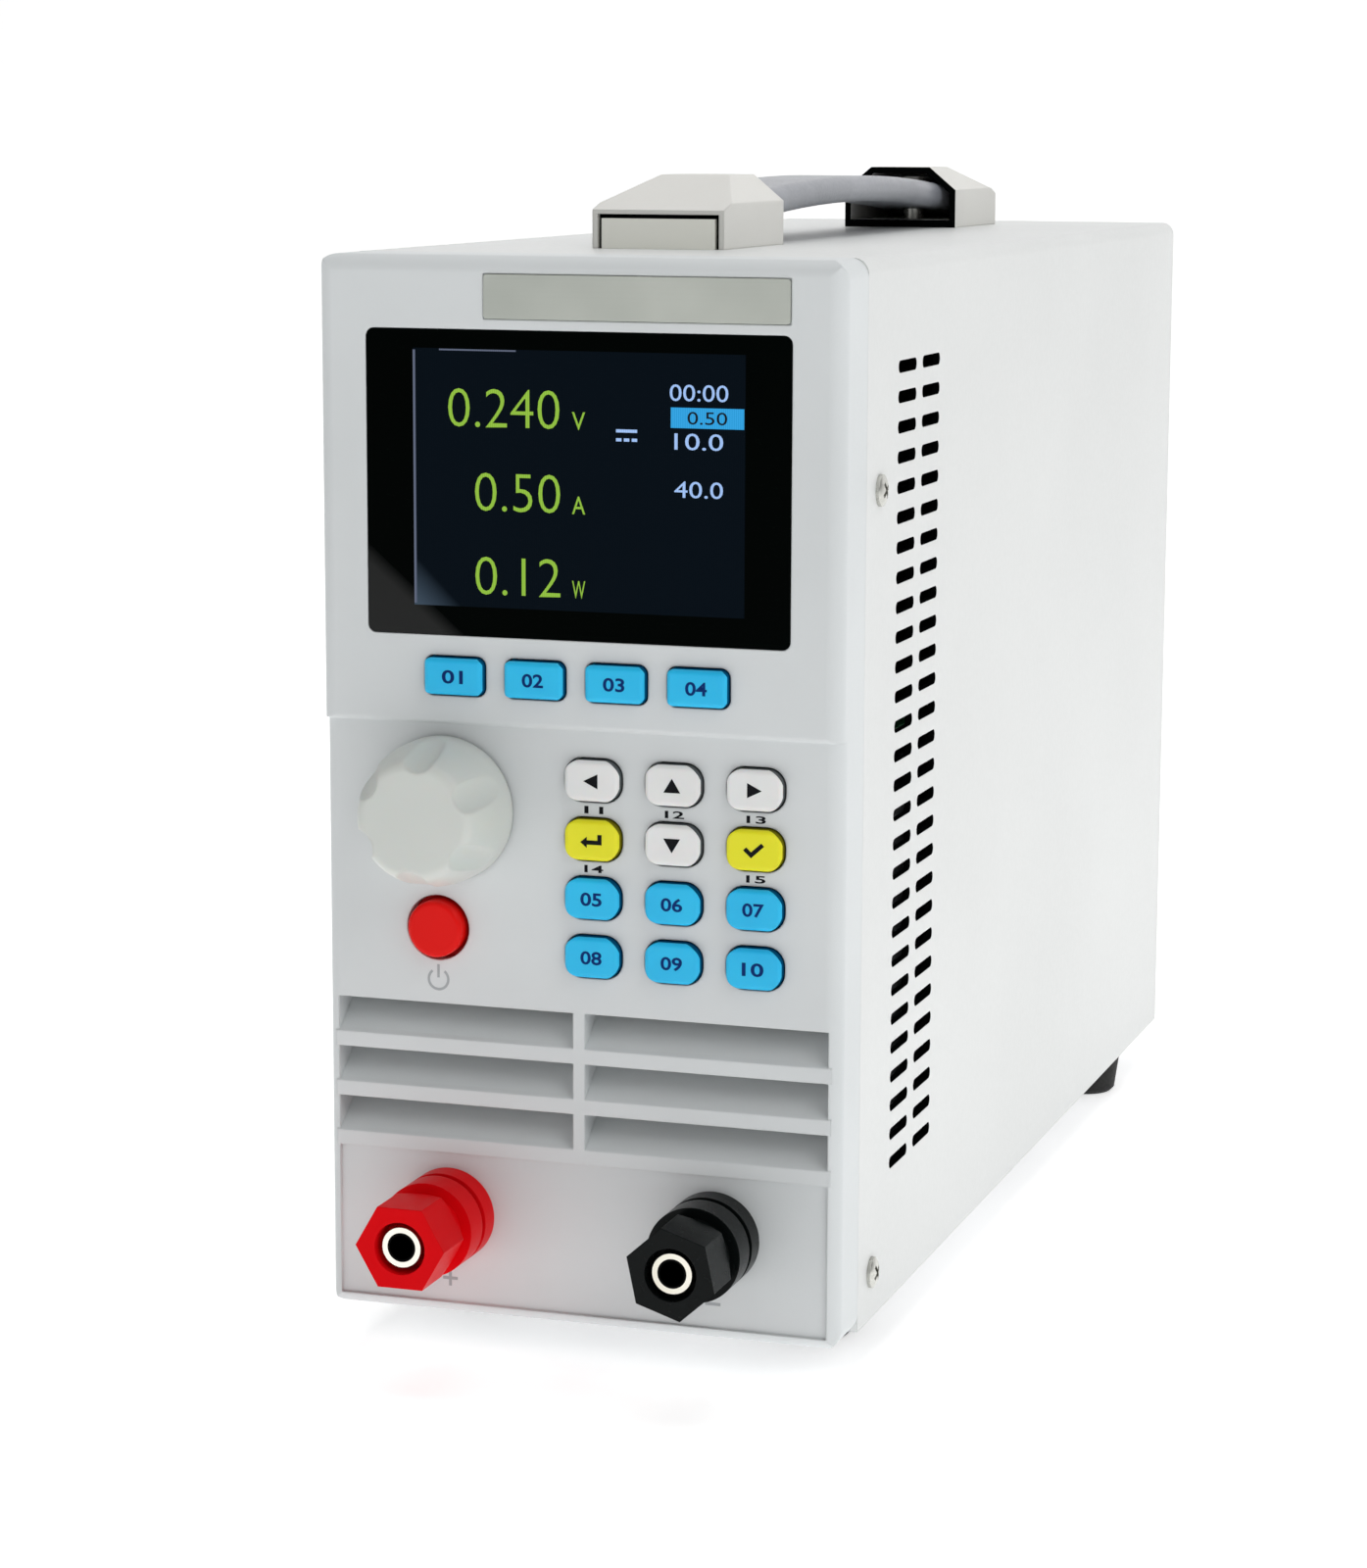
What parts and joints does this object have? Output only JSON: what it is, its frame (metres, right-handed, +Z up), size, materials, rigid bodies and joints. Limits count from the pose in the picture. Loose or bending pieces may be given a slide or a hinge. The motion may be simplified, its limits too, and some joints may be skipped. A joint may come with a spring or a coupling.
{
  "type": "dc electronic load",
  "caption": "Upright bench DC electronic load: steel case, moulded front with display, keypad, knob and louvres, two screw terminals, strap handle and rear fan.",
  "frame": {"origin": "on the floor under the middle of the whole object's box", "axes": "+Z up, front face towards -Y, +X to the right as seen from the front"},
  "size_m": [0.0904, 0.282, 0.194],
  "materials": {
    "bezel_plastic": "fine moulded texture, cool light grey",
    "case_paint": "fine textured powder coat, warm white",
    "window_black": "polished, flat",
    "badge_silver": "satin, bare",
    "board_green": "solder resist",
    "black_plastic": "moulded",
    "inner_steel": "zinc plated sheet",
    "screw_steel": "nickel plated",
    "foot_rubber": "matte",
    "handle_white": "satin moulded",
    "strap_grey": "satin",
    "end_plate_nickel": "satin",
    "post_red": "glossy",
    "post_black": "satin gloss",
    "plated_metal": "nickel plated",
    "brass_metal": "turned",
    "copper_metal": "rolled",
    "sink_aluminium": "extruded",
    "core_steel": "varnished laminations",
    "fuse_ceramic": "glazed",
    "knob_white": "satin moulded",
    "button_red": "satin",
    "key_blue": "satin silicone",
    "key_white": "satin silicone",
    "key_yellow": "satin silicone"
  },
  "bodies": {
    "root": {"front_bezel": "bezel_plastic", "display_window": "window_black", "display_module": "inner_steel", "badge_plate": "badge_silver", "front_board": "board_green", "key_switches": "black_plastic", "encoder_body": "inner_steel", "power_switch": "black_plastic", "front_frame": "inner_steel", "bottom_chassis": "inner_steel", "top_cover": "case_paint", "rear_panel": "case_paint", "feet": "foot_rubber", "case_screws": "screw_steel", "inner_screws": "screw_steel", "handle_front_cap": "handle_white", "handle_rear_cap": "handle_white", "handle_strap": "strap_grey", "handle_end_plates": "end_plate_nickel", "post_base_red": "post_red", "post_base_black": "post_black", "post_studs": "plated_metal", "post_nuts": "brass_metal", "bus_bars": "copper_metal", "heatsink": "sink_aluminium", "power_transistors": "black_plastic", "main_board": "board_green", "board_standoffs": "brass_metal", "board_parts": "black_plastic", "transformer": "core_steel", "fan_frame": "black_plastic", "mains_inlet": "black_plastic", "data_port": "plated_metal"},
    "knob": {"knob": "knob_white", "encoder_shaft": "inner_steel"},
    "power_button": {"power_button": "button_red"},
    "fan_rotor": {"fan_rotor": "black_plastic"},
    "fuse_drawer": {"fuse_drawer": "black_plastic", "fuse": "fuse_ceramic"},
    "post_washer_red": {"post_washer_red": "plated_metal"},
    "post_cap_red": {"post_cap_red": "post_red"},
    "post_washer_black": {"post_washer_black": "plated_metal"},
    "post_cap_black": {"post_cap_black": "post_black"},
    "key_soft_1": {"key_soft_1": "key_blue"},
    "key_soft_2": {"key_soft_2": "key_blue"},
    "key_soft_3": {"key_soft_3": "key_blue"},
    "key_soft_4": {"key_soft_4": "key_blue"},
    "key_left": {"key_left": "key_white"},
    "key_up": {"key_up": "key_white"},
    "key_right": {"key_right": "key_white"},
    "key_back": {"key_back": "key_yellow"},
    "key_down": {"key_down": "key_white"},
    "key_enter": {"key_enter": "key_yellow"},
    "key_fn_1": {"key_fn_1": "key_blue"},
    "key_fn_2": {"key_fn_2": "key_blue"},
    "key_fn_3": {"key_fn_3": "key_blue"},
    "key_fn_4": {"key_fn_4": "key_blue"},
    "key_fn_5": {"key_fn_5": "key_blue"},
    "key_fn_6": {"key_fn_6": "key_blue"}
  },
  "joints": [
    {"name": "knob_turn", "type": "hinge", "parent": "root", "child": "knob", "pos_m": [-0.023, -0.1208, 0.093], "axis": [0, -1, 0], "continuous": true},
    {"name": "power_press", "type": "slide", "parent": "root", "child": "power_button", "axis": [0, 1, 0], "range_m": [0, 0.0024], "stiffness_N_per_m": 900, "springref_m": -0.002},
    {"name": "fan_spin", "type": "hinge", "parent": "root", "child": "fan_rotor", "pos_m": [0, 0.1215, 0.062], "axis": [0, 1, 0], "continuous": true},
    {"name": "fuse_drawer_slide", "type": "slide", "parent": "root", "child": "fuse_drawer", "axis": [0, 1, 0], "range_m": [0, 0.02]},
    {"name": "cap_travel_red", "type": "slide", "parent": "root", "child": "post_washer_red", "axis": [0, -1, 0], "range_m": [0, 0.00501]},
    {"name": "cap_turn_red", "type": "hinge", "parent": "post_washer_red", "child": "post_cap_red", "pos_m": [-0.0228, -0.1308, 0.025], "axis": [0, -1, 0], "range_deg": [0, 1800]},
    {"name": "cap_travel_black", "type": "slide", "parent": "root", "child": "post_washer_black", "axis": [0, -1, 0], "range_m": [0, 0.00501]},
    {"name": "cap_turn_black", "type": "hinge", "parent": "post_washer_black", "child": "post_cap_black", "pos_m": [0.0228, -0.1308, 0.025], "axis": [0, -1, 0], "range_deg": [0, 1800]},
    {"name": "key_soft_1_press", "type": "slide", "parent": "root", "child": "key_soft_1", "axis": [0, 1, 0], "range_m": [0, 0.0008], "stiffness_N_per_m": 1200, "springref_m": -0.0005},
    {"name": "key_soft_2_press", "type": "slide", "parent": "root", "child": "key_soft_2", "axis": [0, 1, 0], "range_m": [0, 0.0008], "stiffness_N_per_m": 1200, "springref_m": -0.0005},
    {"name": "key_soft_3_press", "type": "slide", "parent": "root", "child": "key_soft_3", "axis": [0, 1, 0], "range_m": [0, 0.0008], "stiffness_N_per_m": 1200, "springref_m": -0.0005},
    {"name": "key_soft_4_press", "type": "slide", "parent": "root", "child": "key_soft_4", "axis": [0, 1, 0], "range_m": [0, 0.0008], "stiffness_N_per_m": 1200, "springref_m": -0.0005},
    {"name": "key_left_press", "type": "slide", "parent": "root", "child": "key_left", "axis": [0, 1, 0], "range_m": [0, 0.0008], "stiffness_N_per_m": 1200, "springref_m": -0.0005},
    {"name": "key_up_press", "type": "slide", "parent": "root", "child": "key_up", "axis": [0, 1, 0], "range_m": [0, 0.0008], "stiffness_N_per_m": 1200, "springref_m": -0.0005},
    {"name": "key_right_press", "type": "slide", "parent": "root", "child": "key_right", "axis": [0, 1, 0], "range_m": [0, 0.0008], "stiffness_N_per_m": 1200, "springref_m": -0.0005},
    {"name": "key_back_press", "type": "slide", "parent": "root", "child": "key_back", "axis": [0, 1, 0], "range_m": [0, 0.0008], "stiffness_N_per_m": 1200, "springref_m": -0.0005},
    {"name": "key_down_press", "type": "slide", "parent": "root", "child": "key_down", "axis": [0, 1, 0], "range_m": [0, 0.0008], "stiffness_N_per_m": 1200, "springref_m": -0.0005},
    {"name": "key_enter_press", "type": "slide", "parent": "root", "child": "key_enter", "axis": [0, 1, 0], "range_m": [0, 0.0008], "stiffness_N_per_m": 1200, "springref_m": -0.0005},
    {"name": "key_fn_1_press", "type": "slide", "parent": "root", "child": "key_fn_1", "axis": [0, 1, 0], "range_m": [0, 0.0008], "stiffness_N_per_m": 1200, "springref_m": -0.0005},
    {"name": "key_fn_2_press", "type": "slide", "parent": "root", "child": "key_fn_2", "axis": [0, 1, 0], "range_m": [0, 0.0008], "stiffness_N_per_m": 1200, "springref_m": -0.0005},
    {"name": "key_fn_3_press", "type": "slide", "parent": "root", "child": "key_fn_3", "axis": [0, 1, 0], "range_m": [0, 0.0008], "stiffness_N_per_m": 1200, "springref_m": -0.0005},
    {"name": "key_fn_4_press", "type": "slide", "parent": "root", "child": "key_fn_4", "axis": [0, 1, 0], "range_m": [0, 0.0008], "stiffness_N_per_m": 1200, "springref_m": -0.0005},
    {"name": "key_fn_5_press", "type": "slide", "parent": "root", "child": "key_fn_5", "axis": [0, 1, 0], "range_m": [0, 0.0008], "stiffness_N_per_m": 1200, "springref_m": -0.0005},
    {"name": "key_fn_6_press", "type": "slide", "parent": "root", "child": "key_fn_6", "axis": [0, 1, 0], "range_m": [0, 0.0008], "stiffness_N_per_m": 1200, "springref_m": -0.0005}
  ],
  "couplings": [
    {"joint": "cap_travel_red", "follows": "cap_turn_red", "m_per_rad": 0.00015915},
    {"joint": "cap_travel_black", "follows": "cap_turn_black", "m_per_rad": 0.00015915}
  ]
}
